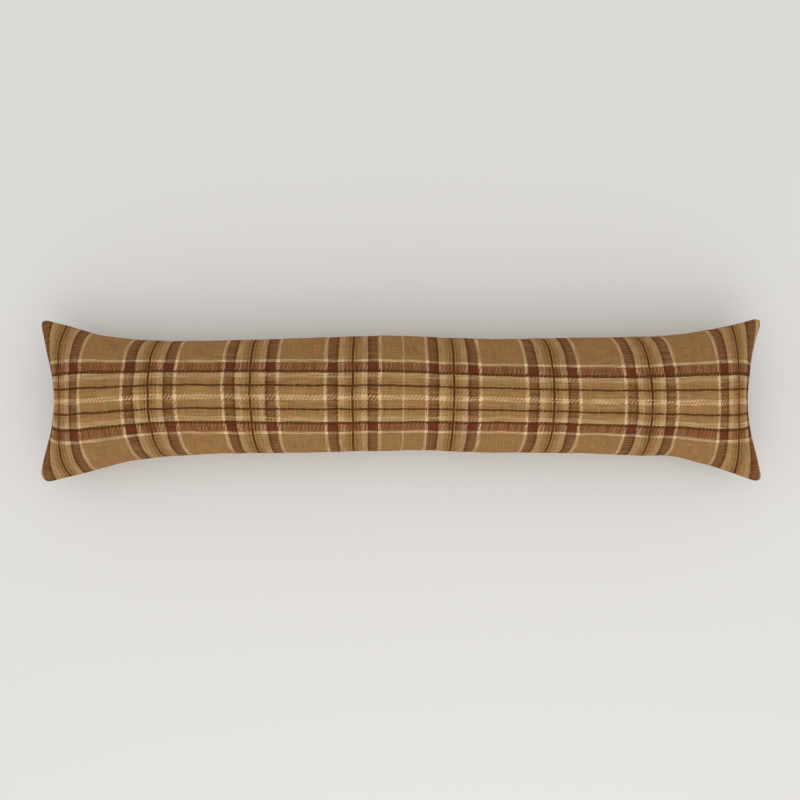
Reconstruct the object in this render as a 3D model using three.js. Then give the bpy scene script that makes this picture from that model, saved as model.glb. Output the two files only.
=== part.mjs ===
// Draught excluder: a long, narrow stuffed cushion that lies along the foot of a door.
// Two strips of plaid cloth are sewn together all round and stuffed, which makes one filled solid.
// Millimetres. +X runs along the length, +Y across it, +Z up. Z = 0 is the floor that it lies on.

import * as THREE from 'three';
import { ParametricGeometry } from 'three/addons/geometries/ParametricGeometry.js';
import { mergeGeometries, mergeVertices } from 'three/addons/utils/BufferGeometryUtils.js';

// Driving sizes
const LENGTH = 907.5; // from corner to corner of the seam, before the corners are rounded
const CROWN = 57; // the upper face above the seam, at mid width
const BELLY = 55; // the lower face below the seam, before the floor flattens it
const SEAM_HEIGHT = 48; // the seam above the floor, at mid width
const EAR_DROOP = 3; // how far the four corners hang below the rest of the seam
const EAR_RADIUS = 13; // the rounding of the four corners
const LEFT_DRAW_IN = 21; // the middle of the -X end seam, in from its corners
const RIGHT_DRAW_IN = 22.2; // the middle of the +X end seam, in from its corners

// How the stuffing swells
const ARCH_POWER = 2.1; // across the width: 2 is an ellipse, more is flatter
const END_POWER = 6.5; // along the length: more keeps the crown level nearer to the ends
const ROUND = 0.5; // the exponent that turns each face straight up from the seam
const EAR_THINNING = 0.5; // added to it towards the corners, where the two panels lie nearly flat
const END_REACH = 12; // how fast the hollow, the droop and the thinning die away from the ends
const SIDE_REACH = 4; // how fast the droop and the thinning die away from the long sides

// Sections along the length: where the two long sides lie, and how far the cushion is rolled, in degrees
const SECTIONS = [
  { station: -454, upper: 103, lower: -102.9, roll: 0 },
  { station: -438, upper: 99.9, lower: -102, roll: 0 },
  { station: -420, upper: 95.5, lower: -98, roll: 0 },
  { station: -385, upper: 84.5, lower: -88.5, roll: -3 },
  { station: -345, upper: 78, lower: -77.5, roll: -2.5 },
  { station: -300, upper: 75, lower: -71, roll: -3 },
  { station: -220, upper: 75.5, lower: -66.8, roll: -1 },
  { station: -110, upper: 78.5, lower: -65.5, roll: 2.2 },
  { station: 0, upper: 81.2, lower: -63.3, roll: 4.9 },
  { station: 60, upper: 78.7, lower: -64, roll: 4.5 },
  { station: 110, upper: 77, lower: -65.5, roll: 3.8 },
  { station: 220, upper: 79, lower: -67, roll: 6.8 },
  { station: 300, upper: 80.5, lower: -69.8, roll: 7.6 },
  { station: 345, upper: 83, lower: -72, roll: 8.5 },
  { station: 385, upper: 89.5, lower: -82.5, roll: 7.5 },
  { station: 420, upper: 97.5, lower: -93.5, roll: 5.3 },
  { station: 438, upper: 102, lower: -100, roll: 4 },
  { station: 454, upper: 104.4, lower: -104, roll: 4 },
];

// The hollow of each end seam on the way to its two corners: a higher power keeps it to the middle
const HOLLOWS = {
  left: { depth: LEFT_DRAW_IN, upperPower: 1.8, lowerPower: 2.1 },
  right: { depth: RIGHT_DRAW_IN, upperPower: 1.25, lowerPower: 1.8 },
};

// How finely the faces are divided
const STEPS_ALONG = 72;
const STEPS_ACROSS = 24;
const END_CROWDING = 0.75; // 0 spaces the steps evenly along the length, 1 crowds them to the ends
const WELD = 1e-3;

const CLOTH = { color: '#987247', roughness: 0.95, metalness: 0 };

// A smooth curve through the rows of the table, read by station
const sections = new THREE.CubicInterpolant(
  SECTIONS.map((row) => row.station),
  SECTIONS.flatMap((row) => [row.upper, row.lower, THREE.MathUtils.degToRad(row.roll)]),
  3,
);

// How far the stuffing lifts a face, from 0 at the seam to 1 in the middle
function swell(along, across) {
  const atEnds = ROUND + EAR_THINNING * Math.abs(along) ** END_REACH;
  const atSides = ROUND + EAR_THINNING * across ** SIDE_REACH;
  return (1 - Math.abs(along) ** END_POWER) ** atSides * (1 - Math.abs(across) ** ARCH_POWER) ** atEnds;
}

// How far a point lies inside the rounding of its corner, from 0 at its edge to 1 on the seam
function intoCorner(gap) {
  return Math.max(0, 1 - gap / EAR_RADIUS);
}

// How far the rounding draws a point back from one seam, where it is this near to both
function roundedBack(into, intoOther) {
  return EAR_RADIUS * into * (1 - Math.sqrt(1 - intoOther ** 2 / 2));
}

// The point of one face at places along and across, each from -1 to 1, on the drawn-in, rolled cushion
function facePoint(along, across, depth, target) {
  const station = (along * LENGTH) / 2;
  const [upper, lower, roll] = sections.evaluate(station);
  const half = (upper - lower) / 2;
  const nearEnd = Math.abs(along) ** END_REACH;

  const end = along < 0 ? HOLLOWS.left : HOLLOWS.right;
  const power = across < 0 ? end.lowerPower : end.upperPower;
  const hollow = end.depth * nearEnd * (1 - across ** 2) ** power;
  const droop = EAR_DROOP * nearEnd * across ** SIDE_REACH;

  const intoEnd = intoCorner(((1 - Math.abs(along)) * LENGTH) / 2);
  const intoSide = intoCorner((1 - Math.abs(across)) * half);
  const back = hollow + roundedBack(intoEnd, intoSide);
  const sideways = across * half - Math.sign(across) * roundedBack(intoSide, intoEnd);

  const rise = depth * swell(along, across);
  const seamRoll = roll * (1 - nearEnd);
  const height = SEAM_HEIGHT - droop + sideways * Math.sin(seamRoll) + rise * Math.cos(roll);
  target.set(
    station - Math.sign(along) * back,
    (upper + lower) / 2 + sideways * Math.cos(seamRoll) - rise * Math.sin(roll),
    Math.max(height, 0),
  );
}

// Steps crowded towards both ends, where the faces turn down to the seam
function crowd(step, crowding) {
  const even = 2 * step - 1;
  return THREE.MathUtils.lerp(even, Math.sin((even * Math.PI) / 2), crowding);
}

function upperFace() {
  const place = (u, v, target) => facePoint(crowd(u, END_CROWDING), crowd(v, 1), CROWN, target);
  return new ParametricGeometry(place, STEPS_ALONG, STEPS_ACROSS);
}

// Runs along the length the other way, so that its outside points down
function lowerFace() {
  const place = (u, v, target) => facePoint(-crowd(u, END_CROWDING), crowd(v, 1), -BELLY, target);
  return new ParametricGeometry(place, STEPS_ALONG, STEPS_ACROSS);
}

// The two faces meet at the seam, and their shared points become one
function stuffedCover() {
  const faces = [upperFace(), lowerFace()];
  for (const face of faces) {
    face.deleteAttribute('normal');
    face.deleteAttribute('uv');
  }
  const solid = mergeVertices(mergeGeometries(faces), WELD);
  solid.computeVertexNormals();
  const mesh = new THREE.Mesh(solid, new THREE.MeshStandardMaterial(CLOTH));
  mesh.name = 'stuffed_cover';
  return mesh;
}

const draughtExcluder = new THREE.Group();
draughtExcluder.add(stuffedCover());

export default draughtExcluder;
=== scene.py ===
"""Draught excluder: two strips of plaid cloth, sewn together all round and stuffed, lying on the floor.

Metres in Blender, millimetres in the tables. +X runs along the length, +Y across it, +Z up from the floor.
"""

import math
from collections import namedtuple

import bmesh
import bpy
import numpy as np
from bpy.props import FloatProperty, FloatVectorProperty, PointerProperty
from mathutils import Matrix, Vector, noise


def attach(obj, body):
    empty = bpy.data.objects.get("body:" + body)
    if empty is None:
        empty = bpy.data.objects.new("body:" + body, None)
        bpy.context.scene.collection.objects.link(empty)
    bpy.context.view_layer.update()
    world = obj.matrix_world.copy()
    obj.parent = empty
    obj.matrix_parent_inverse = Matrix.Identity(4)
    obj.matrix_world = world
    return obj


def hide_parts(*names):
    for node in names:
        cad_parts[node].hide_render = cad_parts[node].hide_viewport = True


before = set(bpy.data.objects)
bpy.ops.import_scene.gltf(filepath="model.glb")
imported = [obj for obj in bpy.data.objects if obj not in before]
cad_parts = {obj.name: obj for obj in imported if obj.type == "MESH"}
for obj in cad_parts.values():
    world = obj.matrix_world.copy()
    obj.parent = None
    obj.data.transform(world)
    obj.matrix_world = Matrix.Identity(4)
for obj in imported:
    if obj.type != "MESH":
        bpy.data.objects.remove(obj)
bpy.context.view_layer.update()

bl_info = {
    "name": "Draught Excluder",
    "version": (1, 0, 0),
    "blender": (4, 5, 0),
    "location": "3D View > Sidebar > Draught Excluder",
    "description": "Sews, stuffs and lays out a plaid draught excluder",
    "category": "Add Mesh",
}

MM = 0.001
CAD_NODE = "stuffed_cover"
CAD_BODY = "root"

# At stations along the length, in millimetres: where the two long seams lie, how far the cushion is rolled,
# in degrees, how far the plaid has slipped along, lies askew and is bowed, and how it is stretched across
Section = namedtuple("Section", "station upper lower roll slip skew bow stretch")
SECTIONS = (
    Section(-454, 103.0, -102.9, 0.0, 4.5, 1.0, -2.5, 1.001),
    Section(-438, 99.9, -102.0, 0.0, 2.6, 1.8, -4.5, 1.006),
    Section(-420, 95.5, -98.0, 0.0, 1.5, 2.6, -5.5, 0.996),
    Section(-385, 84.5, -88.5, -3.0, 1.9, 3.3, -6.4, 1.001),
    Section(-345, 78.0, -77.5, -2.5, 2.7, 4.0, -6.8, 0.996),
    Section(-300, 75.0, -71.0, -3.0, 3.2, 4.3, -6.7, 0.988),
    Section(-220, 75.5, -66.8, -1.0, 2.4, 3.7, -4.4, 0.988),
    Section(-110, 78.5, -65.5, 2.2, -0.4, 1.0, -0.7, 0.996),
    Section(0, 81.2, -63.3, 4.9, -2.5, -1.1, 2.1, 0.976),
    Section(60, 78.7, -64.0, 4.5, -3.0, -1.1, 3.3, 0.947),
    Section(110, 77.0, -65.5, 3.8, -3.1, -0.5, 5.6, 0.932),
    Section(220, 79.0, -67.0, 6.8, -2.5, 1.9, 8.2, 0.909),
    Section(300, 80.5, -69.8, 7.6, 0.2, 4.5, 6.4, 0.935),
    Section(345, 83.0, -72.0, 8.5, 2.8, 4.5, 3.5, 0.981),
    Section(385, 89.5, -82.5, 7.5, 5.3, 4.2, 0.7, 0.996),
    Section(420, 97.5, -93.5, 5.3, 7.4, 3.9, -1.8, 0.993),
    Section(438, 102.0, -100.0, 4.0, 4.8, 3.3, -1.4, 0.989),
    Section(454, 104.4, -104.0, 4.0, 0.0, 2.0, 0.0, 0.986),
)

# The sett: each yarn's colour from a start, in millimetres, up to the next start
Stripe = namedtuple("Stripe", "start yarn")
# Across the strip, from the middle of a group of stripes to half way to the next group
WARP_SETT = (
    Stripe(0.0, "centre_line"),
    Stripe(1.4, "camel"),
    Stripe(3.0, "brown"),
    Stripe(4.9, "camel"),
    Stripe(10.0, "thin_tan"),
    Stripe(17.4, "thin_edge"),
    Stripe(20.8, "close_maroon"),
    Stripe(24.8, "brown"),
    Stripe(25.8, "close_maroon"),
    Stripe(28.4, "brown"),
    Stripe(30.5, "pale_line"),
    Stripe(34.2, "camel"),
)
# Along the strip, from its middle line to its long edges
WEFT_SETT = (
    Stripe(0.0, "pale_float"),
    Stripe(2.6, "pale_camel"),
    Stripe(8.6, "camel"),
    Stripe(11.5, "dark_line"),
    Stripe(14.2, "camel"),
    Stripe(17.6, "pale_camel"),
    Stripe(21.6, "light_tan"),
    Stripe(27.3, "dark_edge"),
    Stripe(30.9, "maroon"),
    Stripe(39.0, "brown"),
    Stripe(41.2, "pale_line"),
    Stripe(44.6, "outer_camel"),
)
# How much of a crossing each yarn covers against a camel one. For a weft also how far its floats stand out,
# how far it gives way to a warp that covers more, which also deepens the painted light and shade of its
# twill, and how many threads its floats step along in each row
Yarn = namedtuple("Yarn", "colour cover float give step", defaults=(0.0, 1.0, 1.0))
YARNS = {
    "camel": Yarn("camel", 0.5, 0.1),
    "pale_camel": Yarn("pale_camel", 0.5, 0.2),
    "outer_camel": Yarn("outer_camel", 0.5, 0.06),
    "pale_float": Yarn("warm_cream", 0.34, 0.28, 0.2),
    "pale_line": Yarn("cream", 0.31, 0.06, 0.2),
    "light_tan": Yarn("light_tan", 0.45, 0.16, 0.3, 0.5),
    "thin_tan": Yarn("light_tan", 0.31),
    "maroon": Yarn("warm_maroon", 0.57, 0.24, 0.25, 0.5),
    "close_maroon": Yarn("maroon", 0.6),
    "brown": Yarn("brown", 0.5, 0.1),
    "dark_line": Yarn("dark_brown", 0.88, 0.05, 0.2),
    "dark_edge": Yarn("dark_brown", 0.86, 0.17, 0.2, 0.5),
    "thin_edge": Yarn("dark_brown", 0.77),
    "centre_line": Yarn("line_brown", 2.2),
}
LONE_THREAD = 0.9  # half width of the single pale thread across the middle of the strip
LONE_COVER = 0.65  # how far it shows in place of the camel warp

# Unevenness of the cloth, in millimetres
YARN_DRIFT = (24.0, 2.2)  # over what width the yarns stray, and how far
HAIR_BLUR = (1.5, 1.6)  # the same for the hairs, which blur the edges of the stripes
WARP_SLUB = (0.7, 0.04, 1.0)  # thick and thin places to the millimetre, along the strip and across it
WEFT_SLUB = (0.035, 0.5, 1.0)
SLUB_SHADE = {"From Min": 0.3, "From Max": 0.7, "To Min": 0.67, "To Max": 1.33}  # how light their dye is
SLUB_COVER = 0.65  # how much more of a crossing the thick places cover
PATCH = 16.0  # width of the patches of clearer twill and warmer dye
PATCH_FLOAT = {"From Min": 0.35, "From Max": 0.65, "To Min": 0.4, "To Max": 1.4}  # how clear their twill is
DYE_BASE = (0.83, 0.86, 0.77)  # least red, green and blue of the dye
DYE_SPREAD = (0.34, 0.26, 0.4)  # and how far they rise in the warmest patches

# The twill and its surface
TWILL_THREADS = 4  # two over and two under
TWILL_WAVE = {"From Min": 0.0, "From Max": 0.5, "To Min": -1.0, "To Max": 1.0}  # from weft up to warp up
RIDGE_SHADE = 0.6  # how much painted highlight lightens the raised warp floats, and painted shade darkens the hollows between them
FUZZ = 0.9  # tufts to the millimetre: real hairs are too fine to show, so they are drawn far coarser
TWILL_RELIEF = 0.3  # height of the twill against the fuzz
RELIEF_STRENGTH = 0.4
RELIEF_HEIGHT = 0.4 * MM
WOOL_ROUGHNESS = 0.95
WOOL_SPECULAR = 0.06

# How the stuffing swells the two panels before the cloth is let go
ARCH_POWER = 2.1  # across the width: 2 is an ellipse, more is flatter
END_POWER = 6.5  # along the length: more keeps the crown level nearer to the ends
ROUND = 0.5  # the exponent that turns each panel straight up from the seam
EAR_THINNING = 0.5  # added to it towards the corners, where the two panels lie nearly flat
END_REACH = 12  # how fast the hollow, the droop and the thinning die away from the ends
SIDE_REACH = 4  # how fast the droop and the thinning die away from the long sides
CROWN_EASE = 0.8  # how far the cloth is eased along the crown to make up for its slope at the ends
EASE_REACH = 4  # how fast that ease dies away from the ends
CROWN_SAMPLES = 500  # places at which the cloth along the crown is measured
FLAT_REACH = 8  # how fast the panels lie flat, not curved, across the ends
# The hollow of the end seams beside each corner: more keeps it to the middle
HOLLOW_POWERS = {(-1, 1): 1.8, (-1, -1): 2.1, (1, 1): 1.25, (1, -1): 1.8}

# The simulated cloth
CELL = 5.0 * MM
SEAM_LIP = 1.6 * MM  # the row of points beside the seam, where the cloth turns in to the stitches
SEAM_WELD = 1e-6
LUMP = 1.0 * MM  # unevenness of the stuffing
LUMP_SIZES = ((35 * MM, 1.0, 3.7), (16 * MM, 0.5, 9.1))  # width, share, seed
FRAMES = 25
CLOTH_SETTINGS = {
    "quality": 8,
    "mass": 0.15,
    "tension_stiffness": 25,
    "compression_stiffness": 25,
    "shear_stiffness": 5,
    "bending_stiffness": 0.5,
    "tension_damping": 5,
    "compression_damping": 5,
    "shear_damping": 5,
    "bending_damping": 0.5,
    "air_damping": 1,
    "pin_stiffness": 1,
    "use_pressure": True,
    "uniform_pressure_force": 3.0,
}
SLACK_SEAM = 0.006  # spare cloth along the seams, where the stitching gathers it
SLACK_REACH = 30 * MM
MOST_MOVE = 14 * MM
FLOOR_SOFTNESS = 1.5 * MM  # how gently the underside turns up from the floor

# The seam
SEAM_SINK = 1.7 * MM  # how far the stitches draw the seam in
SEAM_PUCKER = 0.7 * MM  # and how unevenly
SEAM_CREASE = 0.75
PUCKER_WIDTH = 9 * MM
PUCKER_SEED = 1.3
EAR_SINK = 0.3  # the share of that left at the corners, where the panels lie together
EAR_REACH = 30 * MM

# The stage, in metres
FLOOR_REACH = 4.0
FLOOR_ROUGHNESS = 0.9
FLOOR_SPECULAR = 0.1
LAMP_WIDTH = 2.0
LAMP_DEPTH = 1.2
LAMP_PLACE = (0.1, -1.5, 1.1)
CAMERA_SHIFT = (-0.0018, 0.0006)  # the middle of the view, from the middle of the part
SENSOR_WIDTH = 36  # millimetres

# Kinds of node that the weave uses over and over
MATH = "ShaderNodeMath"
VECTOR_MATH = "ShaderNodeVectorMath"
CLOUDS = "ShaderNodeTexNoise"
MAP_RANGE = "ShaderNodeMapRange"


def linear(hex_colour):
    """An sRGB hex colour as linear red, green, blue and full alpha."""
    parts = [int(hex_colour[i : i + 2], 16) / 255 for i in (1, 3, 5)]
    return [p / 12.92 if p <= 0.04045 else ((p + 0.055) / 1.055) ** 2.4 for p in parts] + [1.0]


def size(name, millimetres, description):
    """A length that the user may change."""
    return FloatProperty(
        name=name,
        description=description,
        default=millimetres * MM,
        unit="LENGTH",
        subtype="DISTANCE",
    )


def colour(name, hex_colour, description):
    """A colour that the user may change."""
    return FloatVectorProperty(
        name=name,
        description=description,
        default=linear(hex_colour),
        size=4,
        subtype="COLOR",
        min=0,
        max=1,
    )


class CoverSizes(bpy.types.PropertyGroup):
    """Sizes of the sewn and stuffed cover."""

    length: size("Length", 907.5, "From corner to corner of the seam")
    panel_length: size("Panel length", 918, "Length that each strip of cloth is sewn to, laid flat")
    panel_width: size("Panel width", 202, "Width that each strip of cloth is sewn to, laid flat")
    crown: size("Crown", 54, "Upper panel above the seam before the cloth is let go")
    belly: size("Belly", 54, "Lower panel below the seam before the cloth is let go")
    seam_height: size("Seam height", 48, "Seam above the floor at mid width")
    ear_droop: size("Ear droop", 3, "How far the corners hang below the rest of the seam")
    left_draw_in: size("Left draw-in", 21, "Middle of the -X end seam, in from its corners")
    right_draw_in: size("Right draw-in", 22.2, "Middle of the +X end seam, in from its corners")
    ear_radius: size("Ear radius", 13, "Rounding of the four corners")
    repeat: size("Plaid repeat", 121.2, "From one group of cross stripes to the next")
    plaid_offset: size("Plaid offset", 0.5, "How far the middle stripe lies below the middle of the strip")
    back_shift: size("Back shift", 7, "How far the back panel's stripes miss those of the front, along")
    back_drop: size("Back drop", 6, "How far the back panel's stripes miss those of the front, across")
    warp_pitch: size("Warp pitch", 1.14, "Thread to thread of the warp, which runs across the strip")
    weft_pitch: size("Weft pitch", 1.43, "Thread to thread of the weft, which runs along the strip")


class YarnColours(bpy.types.PropertyGroup):
    """Colours of the dyed yarns."""

    camel: colour("Camel", "#987247", "Ground yarn")
    pale_camel: colour("Pale camel", "#a37c4f", "Ground beside the middle stripe and the tan bands")
    outer_camel: colour("Outer camel", "#926d44", "Ground outside the dark bands")
    cream: colour("Cream", "#e6c49a", "Pale stripes")
    warm_cream: colour("Warm cream", "#ecc592", "Middle stripe along")
    light_tan: colour("Light tan", "#c3a077", "Bands inside the dark edges")
    maroon: colour("Maroon", "#613222", "Broad dark bands across")
    warm_maroon: colour("Warm maroon", "#6e3420", "Broad dark bands along")
    brown: colour("Brown", "#6b4424", "Edges of the dark bands")
    line_brown: colour("Line brown", "#5a381a", "Thin line in the middle of each group across")
    dark_brown: colour("Dark brown", "#522f0c", "Thin lines along, and the edges of the dark bands")


class StageLook(bpy.types.PropertyGroup):
    """Floor, light and camera."""

    floor: colour("Floor", "#e9e7e3", "Matt pale floor")
    camera_height: size("Camera height", 1250, "Camera above the floor")
    view_width: size("View width", 1003, "Width of floor seen at the height of the seam")
    lamp_power: FloatProperty(name="Lamp", description="Power of the soft lamp", default=7.5, unit="POWER")
    fill: FloatProperty(name="Fill", description="Strength of the even light all round", default=0.82)


STATIONS = np.array([row.station for row in SECTIONS], dtype=float) * MM
SIDES = np.array([
    (
        row.upper * MM,
        row.lower * MM,
        math.radians(row.roll),
        row.slip * MM,
        row.skew * MM,
        row.bow * MM,
        row.stretch,
    )
    for row in SECTIONS
])
SLOPES = np.gradient(SIDES, STATIONS, axis=0)


def section_at(station):
    """The row of the table at a station, on a smooth curve through the rows."""
    row = int(np.clip(np.searchsorted(STATIONS, station) - 1, 0, len(STATIONS) - 2))
    step = STATIONS[row + 1] - STATIONS[row]
    t = (station - STATIONS[row]) / step
    start = SIDES[row] * (2 * t**3 - 3 * t**2 + 1) + SLOPES[row] * step * (t**3 - 2 * t**2 + t)
    end = SIDES[row + 1] * (3 * t**2 - 2 * t**3) + SLOPES[row + 1] * step * (t**3 - t**2)
    return start + end


def swell(along, across):
    """How far the stuffing lifts a panel, from 0 at the seam to 1 in the middle."""
    at_ends = ROUND + EAR_THINNING * along**END_REACH
    at_sides = ROUND + EAR_THINNING * across**SIDE_REACH
    return (1 - along**END_POWER) ** at_sides * (1 - across**ARCH_POWER) ** at_ends


def even_steps(sizes):
    """Places along the crown, from its middle to its end, and the share of the cloth used up at each."""
    place = np.linspace(0, 1, CROWN_SAMPLES)
    height = sizes.crown * np.array([swell(along, 0) for along in place])
    run = np.hypot(np.diff(place) * sizes.length / 2, np.diff(height))
    used = np.concatenate(([0], np.cumsum(run)))
    return place, used / used[-1]


def panel_point(sizes, even, lengthwise, crosswise, side):
    """A point of the filled form, from its places along and across the flat panel, each from -1 to 1."""
    on_crown = math.copysign(np.interp(abs(lengthwise), even[1], even[0]), lengthwise)
    ease = CROWN_EASE * abs(lengthwise) ** EASE_REACH * (1 - crosswise**2)
    along = lengthwise + (on_crown - lengthwise) * ease
    near_end = abs(along) ** END_REACH
    flatness = abs(along) ** FLAT_REACH
    across = math.sin(crosswise * math.pi / 2) * (1 - flatness) + crosswise * flatness
    station = along * sizes.length / 2
    upper, lower, lean = section_at(station)[:3]
    tilt = lean * (1 - near_end)
    half = (upper - lower) / 2
    power = HOLLOW_POWERS[math.copysign(1, along), math.copysign(1, across)]
    draw_in = sizes.right_draw_in if along > 0 else sizes.left_draw_in
    hollow = draw_in * near_end * (1 - across**2) ** power
    droop = sizes.ear_droop * near_end * across**SIDE_REACH
    gaps = (1 - abs(along)) * sizes.length / 2, (1 - abs(across)) * half
    into_end, into_side = (max(0.0, 1 - gap / sizes.ear_radius) for gap in gaps)
    back = sizes.ear_radius * into_end * (1 - math.sqrt(1 - into_side**2 / 2))
    inward = sizes.ear_radius * into_side * (1 - math.sqrt(1 - into_end**2 / 2))
    sideways = across * half - math.copysign(inward, across)
    depth = sizes.crown if side > 0 else -sizes.belly
    rise = depth * swell(abs(along), abs(across))
    return Vector((
        station - math.copysign(hollow + back, along),
        (upper + lower) / 2 + sideways * math.cos(tilt) - rise * math.sin(lean),
        sizes.seam_height - droop + sideways * math.sin(tilt) + rise * math.cos(lean),
    ))


def rows_with_lips(width):
    """Even places across a panel, from -1 to 1, with one more row close beside each seam."""
    even = np.linspace(-1, 1, 2 * round(width / CELL / 2) + 1)
    lip = 1 - SEAM_LIP / (width / 2)
    return np.sort(np.append(even, (-lip, lip)))


def sewn_panels(sizes):
    """Front and back panels as a mesh welded along the seam, with each point's place on the flat cloth."""
    bm = bmesh.new()
    flat = bm.verts.layers.float_vector.new("flat")
    panel = bm.faces.layers.int.new("panel")
    crease = bm.edges.layers.float.new("crease_edge")
    rows_along = rows_with_lips(sizes.panel_length)
    rows_across = rows_with_lips(sizes.panel_width)
    even = even_steps(sizes)
    for side in (1, -1):
        made = bmesh.ops.create_grid(
            bm, x_segments=len(rows_along) - 1, y_segments=len(rows_across) - 1, size=1
        )["verts"]
        for vert in made:
            lengthwise, crosswise = (
                float(rows[round((place + 1) / 2 * (len(rows) - 1))])
                for place, rows in zip(vert.co.xy, (rows_along, rows_across))
            )
            vert[flat] = (lengthwise * sizes.panel_length / 2, crosswise * sizes.panel_width / 2, side)
            vert.co = panel_point(sizes, even, lengthwise, crosswise, side)
        faces = list({face for vert in made for face in vert.link_faces})
        for face in faces:
            face[panel] = side
            face.smooth = True
        if side < 0:
            bmesh.ops.reverse_faces(bm, faces=faces)
    edge = [vert for vert in bm.verts if vert.is_boundary]
    for seam_edge in bm.edges:
        if seam_edge.is_boundary:
            seam_edge[crease] = SEAM_CREASE
    bmesh.ops.remove_doubles(bm, verts=edge, dist=SEAM_WELD)
    if any(seam_edge.is_boundary for seam_edge in bm.edges):
        raise RuntimeError("the two panels don't meet all round the seam")
    bm.normal_update()
    for vert in bm.verts:
        x, y, side = vert[flat]
        lump = sum(
            share * noise.noise(Vector((x / width, y / width, side * seed)))
            for width, share, seed in LUMP_SIZES
        )
        vert.co += vert.normal * lump * LUMP
    mesh = bpy.data.meshes.new("plaid_cover")
    bm.to_mesh(mesh)
    bm.free()
    return mesh


def places(mesh):
    """Where the points of a mesh are, one row each."""
    found = np.empty(len(mesh.vertices) * 3)
    mesh.vertices.foreach_get("co", found)
    return found.reshape(-1, 3)


def from_seam(flat, sizes):
    """How far each point is from the nearest seam, on the flat cloth."""
    ends = sizes.panel_length / 2 - np.abs(flat[:, 0])
    sides = sizes.panel_width / 2 - np.abs(flat[:, 1])
    return np.minimum(ends, sides)


def let_go(cover, flat, sizes):
    """Lets the stuffing press the cloth out between the pinned seams, and keeps the shape that it takes."""
    mesh = cover.data
    before = places(mesh)
    edge = from_seam(flat, sizes)
    cover.shape_key_add(name="filled")
    cut = cover.shape_key_add(name="cut")
    cut.data.foreach_set("co", (flat * (1, 1, 0)).ravel())
    seam = cover.vertex_groups.new(name="seam")
    seam.add(np.flatnonzero(edge < SEAM_WELD).tolist(), 1, "REPLACE")
    gathered = cover.vertex_groups.new(name="gathered")
    for point, weight in enumerate(np.exp(-((edge / SLACK_REACH) ** 2))):
        gathered.add([point], float(weight), "REPLACE")

    cloth = cover.modifiers.new("stuffing", "CLOTH")
    settings = cloth.settings
    for name, value in CLOTH_SETTINGS.items():
        setattr(settings, name, value)
    settings.rest_shape_key = cut
    settings.effector_weights.gravity = 0
    settings.vertex_group_mass = seam.name
    settings.vertex_group_shrink = gathered.name
    settings.shrink_max = -SLACK_SEAM
    cloth.collision_settings.use_collision = False
    cloth.point_cache.frame_start = 1
    cloth.point_cache.frame_end = FRAMES

    scene = bpy.context.scene
    for number in range(1, FRAMES + 1):
        scene.frame_set(number)
    pressed = places(cover.evaluated_get(bpy.context.evaluated_depsgraph_get()).data)
    scene.frame_set(1)
    cover.modifiers.remove(cloth)
    cover.shape_key_clear()
    cover.vertex_groups.clear()

    moved = pressed - before
    far = np.linalg.norm(moved, axis=1, keepdims=True)
    moved *= np.minimum(1, MOST_MOVE / np.maximum(far, SEAM_WELD))
    mesh.vertices.foreach_set("co", (before + moved).ravel())
    mesh.update()


def draw_in_seam(mesh, flat, sizes):
    """Sinks the seam a little and unevenly, as the stitches do."""
    normals = np.empty(len(mesh.vertices) * 3)
    mesh.vertex_normals.foreach_get("vector", normals)
    normals = normals.reshape(-1, 3)
    now = places(mesh)
    for point in np.flatnonzero(from_seam(flat, sizes) < SEAM_WELD):
        x, y, _ = flat[point]
        uneven = 0.5 + noise.noise(Vector((x / PUCKER_WIDTH, y / PUCKER_WIDTH, PUCKER_SEED)))
        from_ear = math.hypot(sizes.panel_length / 2 - abs(x), sizes.panel_width / 2 - abs(y))
        share = 1 - (1 - EAR_SINK) * math.exp(-((from_ear / EAR_REACH) ** 2))
        now[point] -= normals[point] * share * (SEAM_SINK + SEAM_PUCKER * uneven)
    mesh.vertices.foreach_set("co", now.ravel())


def lay_down(mesh):
    """Flattens the underside where it lies on the floor."""
    now = places(mesh)
    low = now[:, 2]
    now[:, 2] = (low + np.sqrt(low**2 + FLOOR_SOFTNESS**2)) / 2
    now[:, 2] -= now[:, 2].min()
    mesh.vertices.foreach_set("co", now.ravel())
    mesh.update()


def chart_cloth(mesh, flat, sizes):
    """The UV map is each panel's own flat cloth, in metres from the middle of its plaid."""
    panel = np.empty(len(mesh.polygons), dtype=int)
    mesh.attributes["panel"].data.foreach_get("value", panel)
    corner_vert = np.empty(len(mesh.loops), dtype=int)
    mesh.loops.foreach_get("vertex_index", corner_vert)
    per_face = np.empty(len(mesh.polygons), dtype=int)
    mesh.polygons.foreach_get("loop_total", per_face)
    corner_panel = np.repeat(panel, per_face)
    cloth = flat[corner_vert, :2].copy()
    rows = np.array([section_at(x / sizes.panel_length * sizes.length) for x in cloth[:, 0]])
    slip, skew, bow, stretch = rows[:, 3:].T
    across = cloth[:, 1] / (sizes.panel_width / 2)
    cloth[:, 0] += slip + skew * across + bow * across**2
    cloth[:, 1] = cloth[:, 1] / stretch + sizes.plaid_offset
    cloth[corner_panel < 0] += sizes.back_shift, sizes.back_drop
    layer = mesh.uv_layers.new(name="panel_cloth")
    layer.uv.foreach_set("vector", cloth.astype(np.float32).ravel())


def add(tree, kind, inputs=None, **settings):
    """Adds a node with its settings, and gives each named input a value or a link."""
    made = tree.nodes.new(kind)
    for name, value in settings.items():
        setattr(made, name, value)
    for key, value in (inputs or {}).items():
        if isinstance(value, bpy.types.NodeSocket):
            tree.links.new(value, made.inputs[key])
        else:
            made.inputs[key].default_value = value
    return made


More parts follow.
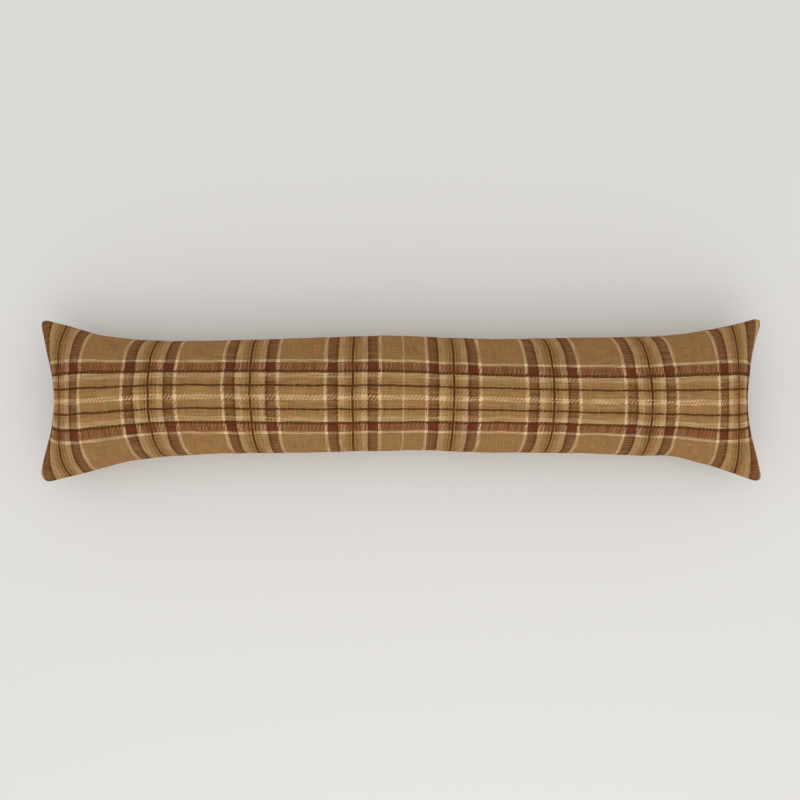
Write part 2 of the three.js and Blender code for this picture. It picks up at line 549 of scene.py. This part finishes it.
def strayed(tree, cloth):
    """Places on the cloth as its yarns drift, and then as their hairs also blur the stripes."""
    steps = [cloth]
    for width, stray in (YARN_DRIFT, HAIR_BLUR):
        drift = add(tree, CLOUDS, {"Vector": cloth, "Scale": 1 / width, "Detail": 1.0}).outputs["Color"]
        centred = add(tree, VECTOR_MATH, {0: drift, 1: (0.5, 0.5, 0.5)}, operation="SUBTRACT").outputs[0]
        shift = {0: centred, 1: (stray, stray, 0), 2: steps[-1]}
        steps.append(add(tree, VECTOR_MATH, shift, operation="MULTIPLY_ADD").outputs[0])
    return [add(tree, "ShaderNodeSeparateXYZ", {0: place}).outputs[:2] for place in steps[1:]]


def laid_out(tree, sett, distance, reach, reading):
    """A ramp over the stripes of a sett, which gives the reading of the yarn at each distance."""
    share = add(tree, MATH, {0: distance, 1: reach}, operation="DIVIDE").outputs[0]
    ramp = add(tree, "ShaderNodeValToRGB", {0: share})
    stops = ramp.color_ramp
    stops.interpolation = "CONSTANT"
    while len(stops.elements) < len(sett):
        stops.elements.new(1)
    for stop, stripe in zip(stops.elements, sett):
        stop.position = stripe.start / reach
        stop.color = reading(YARNS[stripe.yarn])
    return ramp


def over_and_under(tree, drifted, step, sizes):
    """The twill, from -1 where the weft is up to 1 where the warp is: its floats step along in each row."""
    threads = []
    for distance, pitch in zip(drifted, (sizes.warp_pitch, sizes.weft_pitch)):
        count = add(tree, MATH, {0: distance, 1: pitch / MM}, operation="DIVIDE").outputs[0]
        threads.append(add(tree, MATH, {0: count}, operation="FLOOR").outputs[0])
    stepped = add(tree, MATH, {0: threads[1], 1: step}, operation="MULTIPLY").outputs[0]
    slant = add(tree, MATH, {0: threads[0], 1: stepped}, operation="SUBTRACT").outputs[0]
    repeats = add(tree, MATH, {0: slant, 1: TWILL_THREADS}, operation="DIVIDE").outputs[0]
    line = add(tree, MATH, {0: repeats, 1: 0.5}, operation="PINGPONG").outputs[0]
    return add(tree, MAP_RANGE, {"Value": line, **TWILL_WAVE}).outputs[0]


def plaid_twill(sizes, colours):
    """Yarn-dyed wool twill, woven two over and two under and left unpressed.

    Each crossing shows either its warp or its weft yarn, so where two stripes cross their colours mix in
    slanting lines. The yarns are uneven and hairy: no gloss, and stripes with soft edges.
    """
    material = bpy.data.materials.new("plaid_wool_twill")
    material.use_nodes = True
    tree = material.node_tree
    tree.nodes.clear()

    chart = add(tree, "ShaderNodeUVMap", uv_map="panel_cloth").outputs[0]
    cloth = add(tree, VECTOR_MATH, {0: chart, "Scale": 1 / MM}, operation="SCALE").outputs[0]
    drifted, (along, across) = strayed(tree, cloth)

    def dye(yarn):
        return (*getattr(colours, yarn.colour)[:3], yarn.cover)

    def lie(yarn):
        return (yarn.float, yarn.give, yarn.step, 1)

    half_repeat = sizes.repeat / MM / 2
    half_width = sizes.panel_width / MM / 2
    to_and_fro = add(tree, MATH, {0: along, 1: half_repeat}, operation="PINGPONG").outputs[0]
    from_group = add(tree, MATH, {0: half_repeat, 1: to_and_fro}, operation="SUBTRACT").outputs[0]
    from_middle = add(tree, MATH, {0: across}, operation="ABSOLUTE").outputs[0]
    warp_dye, warp_cover = laid_out(tree, WARP_SETT, from_group, half_repeat, dye).outputs
    weft_dye, weft_cover = laid_out(tree, WEFT_SETT, from_middle, half_width, dye).outputs
    weft_lie = laid_out(tree, WEFT_SETT, from_middle, half_width, lie).outputs["Color"]
    floating, give, step = add(tree, "ShaderNodeSeparateColor", {0: weft_lie}).outputs

    # One pale thread runs across the middle of the strip
    from_centre = add(tree, MATH, {0: along}, operation="ABSOLUTE").outputs[0]
    on_thread = add(tree, MATH, {0: from_centre, 1: LONE_THREAD}, operation="LESS_THAN").outputs[0]
    lone = add(tree, MATH, {0: on_thread, 1: LONE_COVER}, operation="MULTIPLY").outputs[0]
    threaded = {"Factor": lone, "A": warp_dye, "B": colours.cream}
    warp_colour = add(tree, "ShaderNodeMix", threaded, data_type="RGBA").outputs["Result"]

    # Uneven spinning and dye, drawn out along each yarn
    slubs, shaded = [], []
    for yarn, drawn_out in ((warp_colour, WARP_SLUB), (weft_dye, WEFT_SLUB)):
        drawn = add(tree, VECTOR_MATH, {0: cloth, 1: drawn_out}, operation="MULTIPLY").outputs[0]
        slub = add(tree, CLOUDS, {"Vector": drawn, "Scale": 1.0, "Detail": 2.0}).outputs[0]
        shade = add(tree, MAP_RANGE, {"Value": slub, **SLUB_SHADE}).outputs[0]
        slubs.append(slub)
        shaded.append(add(tree, VECTOR_MATH, {0: yarn, "Scale": shade}, operation="SCALE").outputs[0])

    # The twill is clearer in some patches than in others
    wave = over_and_under(tree, drifted, step, sizes)
    patches = add(tree, CLOUDS, {"Vector": cloth, "Scale": 1 / PATCH, "Detail": 2.0}).outputs
    clearer = add(tree, MAP_RANGE, {"Value": patches[0], **PATCH_FLOAT}).outputs[0]
    float_size = add(tree, MATH, {0: floating, 1: clearer}, operation="MULTIPLY").outputs[0]
    twill = add(tree, MATH, {0: wave, 1: float_size}, operation="MULTIPLY").outputs[0]

    # The warp shows where the weft leaves it uncovered, where it covers more, and in its floats
    thicker = add(tree, MATH, {0: slubs[0], 1: slubs[1]}, operation="SUBTRACT").outputs[0]
    floats = add(tree, MATH, {0: thicker, 1: SLUB_COVER, 2: twill}, operation="MULTIPLY_ADD").outputs[0]
    even_cover = YARNS["camel"].cover
    lead = add(tree, MATH, {0: warp_cover, 1: even_cover}, operation="SUBTRACT").outputs[0]
    raised = add(tree, MATH, {0: lead, 1: give, 2: floats}, operation="MULTIPLY_ADD").outputs[0]
    uncovered = add(tree, MATH, {0: 1.0, 1: weft_cover}, operation="SUBTRACT").outputs[0]
    warp_up = add(tree, MATH, {0: uncovered, 1: raised}, operation="ADD", use_clamp=True).outputs[0]
    crossing = {"Factor": warp_up, "A": shaded[1], "B": shaded[0]}
    woven = add(tree, "ShaderNodeMix", crossing, data_type="VECTOR").outputs["Result"]

    # The dye takes a little warmer in some patches and a little duller in others
    warmth = {0: patches["Color"], 1: DYE_SPREAD, 2: DYE_BASE}
    dyed = add(tree, VECTOR_MATH, warmth, operation="MULTIPLY_ADD").outputs[0]
    warmed = add(tree, VECTOR_MATH, {0: woven, 1: dyed}, operation="MULTIPLY").outputs[0]
    # Painted light and shade of the twill: raised warp floats are painted lighter and the hollows between
    # them darker, the more so where the weft gives way
    raised_warp = add(tree, MATH, {0: twill, 1: give}, operation="MULTIPLY").outputs[0]
    painted_ridge_shade = add(tree, MATH, {0: raised_warp, 1: RIDGE_SHADE, 2: 1.0}, operation="MULTIPLY_ADD").outputs[0]
    finished = add(tree, VECTOR_MATH, {0: warmed, "Scale": painted_ridge_shade}, operation="SCALE").outputs[0]

    # Raised twill lines and the fuzz of the yarn
    fuzz = add(tree, CLOUDS, {"Vector": cloth, "Scale": FUZZ, "Detail": 3.0}).outputs[0]
    relief = add(tree, MATH, {0: wave, 1: TWILL_RELIEF, 2: fuzz}, operation="MULTIPLY_ADD").outputs[0]
    stands = {"Height": relief, "Strength": RELIEF_STRENGTH, "Distance": RELIEF_HEIGHT}
    bump = add(tree, "ShaderNodeBump", stands).outputs[0]

    wool = {
        "Base Color": finished,
        "Roughness": WOOL_ROUGHNESS,
        "Specular IOR Level": WOOL_SPECULAR,
        "Normal": bump,
    }
    surface = add(tree, "ShaderNodeBsdfPrincipled", wool).outputs[0]
    add(tree, "ShaderNodeOutputMaterial", {"Surface": surface})
    return material


class MESH_OT_stuffed_cover(bpy.types.Operator):
    """Sew the two panels together, stuff them, and weave their plaid"""

    bl_idname = "mesh.stuffed_cover"
    bl_label = "Stuffed Cover"

    def execute(self, context):
        sizes = context.scene.cover_sizes
        mesh = sewn_panels(sizes)
        cover = bpy.data.objects.new("plaid_cover", mesh)
        context.collection.objects.link(cover)
        flat = np.empty(len(mesh.vertices) * 3)
        mesh.attributes["flat"].data.foreach_get("vector", flat)
        flat = flat.reshape(-1, 3)
        let_go(cover, flat, sizes)
        draw_in_seam(mesh, flat, sizes)
        lay_down(mesh)
        chart_cloth(mesh, flat, sizes)
        for name in ("flat", "panel"):
            mesh.attributes.remove(mesh.attributes[name])
        finer = cover.modifiers.new("smooth cloth", "SUBSURF")
        finer.levels = finer.render_levels = 1
        mesh.materials.append(plaid_twill(sizes, context.scene.yarn_colours))
        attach(cover, CAD_BODY)
        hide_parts(CAD_NODE)
        return {"FINISHED"}


class SCENE_OT_studio_stage(bpy.types.Operator):
    """Set out the pale floor, the soft light and the camera straight above"""

    bl_idname = "scene.studio_stage"
    bl_label = "Studio Stage"

    def execute(self, context):
        scene = context.scene
        look = scene.stage_look

        bm = bmesh.new()
        bmesh.ops.create_grid(bm, x_segments=1, y_segments=1, size=FLOOR_REACH)
        mesh = bpy.data.meshes.new("studio_floor")
        bm.to_mesh(mesh)
        bm.free()
        floor = bpy.data.objects.new("studio_floor", mesh)
        context.collection.objects.link(floor)
        paint = bpy.data.materials.new("matt_floor_paint")
        paint.use_nodes = True
        shader = paint.node_tree.nodes["Principled BSDF"]
        shader.inputs["Base Color"].default_value = look.floor
        shader.inputs["Roughness"].default_value = FLOOR_ROUGHNESS
        shader.inputs["Specular IOR Level"].default_value = FLOOR_SPECULAR
        mesh.materials.append(paint)

        lamp = bpy.data.lights.new("soft_lamp", "AREA")
        lamp.shape = "RECTANGLE"
        lamp.size = LAMP_WIDTH
        lamp.size_y = LAMP_DEPTH
        lamp.energy = look.lamp_power
        holder = bpy.data.objects.new("soft_lamp", lamp)
        holder.location = LAMP_PLACE
        holder.rotation_euler = (-holder.location).to_track_quat("-Z", "Y").to_euler()
        holder.visible_camera = False
        context.collection.objects.link(holder)

        world = bpy.data.worlds.new("studio_light")
        world.use_nodes = True
        sky = world.node_tree.nodes["Background"]
        sky.inputs["Color"].default_value = (1, 1, 1, 1)
        sky.inputs["Strength"].default_value = look.fill
        scene.world = world

        camera = bpy.data.cameras.new("overhead_camera")
        camera.sensor_width = SENSOR_WIDTH
        distance = look.camera_height - scene.cover_sizes.seam_height
        camera.lens = camera.sensor_width * distance / look.view_width
        overhead = bpy.data.objects.new("overhead_camera", camera)
        overhead.location = (*CAMERA_SHIFT, look.camera_height)
        context.collection.objects.link(overhead)
        scene.camera = overhead
        scene.view_settings.view_transform = "Standard"
        return {"FINISHED"}


class VIEW3D_PT_draught_excluder(bpy.types.Panel):
    """Sizes, colours and steps of the draught excluder"""

    bl_label = "Draught Excluder"
    bl_space_type = "VIEW_3D"
    bl_region_type = "UI"
    bl_category = "Draught Excluder"

    def draw(self, context):
        scene = context.scene
        for group in (scene.cover_sizes, scene.yarn_colours, scene.stage_look):
            box = self.layout.box()
            for name in type(group).__annotations__:
                box.prop(group, name)
        self.layout.operator(MESH_OT_stuffed_cover.bl_idname)
        self.layout.operator(SCENE_OT_studio_stage.bl_idname)


CLASSES = (
    CoverSizes,
    YarnColours,
    StageLook,
    MESH_OT_stuffed_cover,
    SCENE_OT_studio_stage,
    VIEW3D_PT_draught_excluder,
)
GROUPS = {"cover_sizes": CoverSizes, "yarn_colours": YarnColours, "stage_look": StageLook}


def register():
    for made in CLASSES:
        bpy.utils.register_class(made)
    for name, group in GROUPS.items():
        setattr(bpy.types.Scene, name, PointerProperty(type=group))


def unregister():
    for name in GROUPS:
        delattr(bpy.types.Scene, name)
    for made in reversed(CLASSES):
        bpy.utils.unregister_class(made)


def main():
    register()
    bpy.ops.mesh.stuffed_cover()
    bpy.ops.scene.studio_stage()


if __name__ == "__main__":
    main()
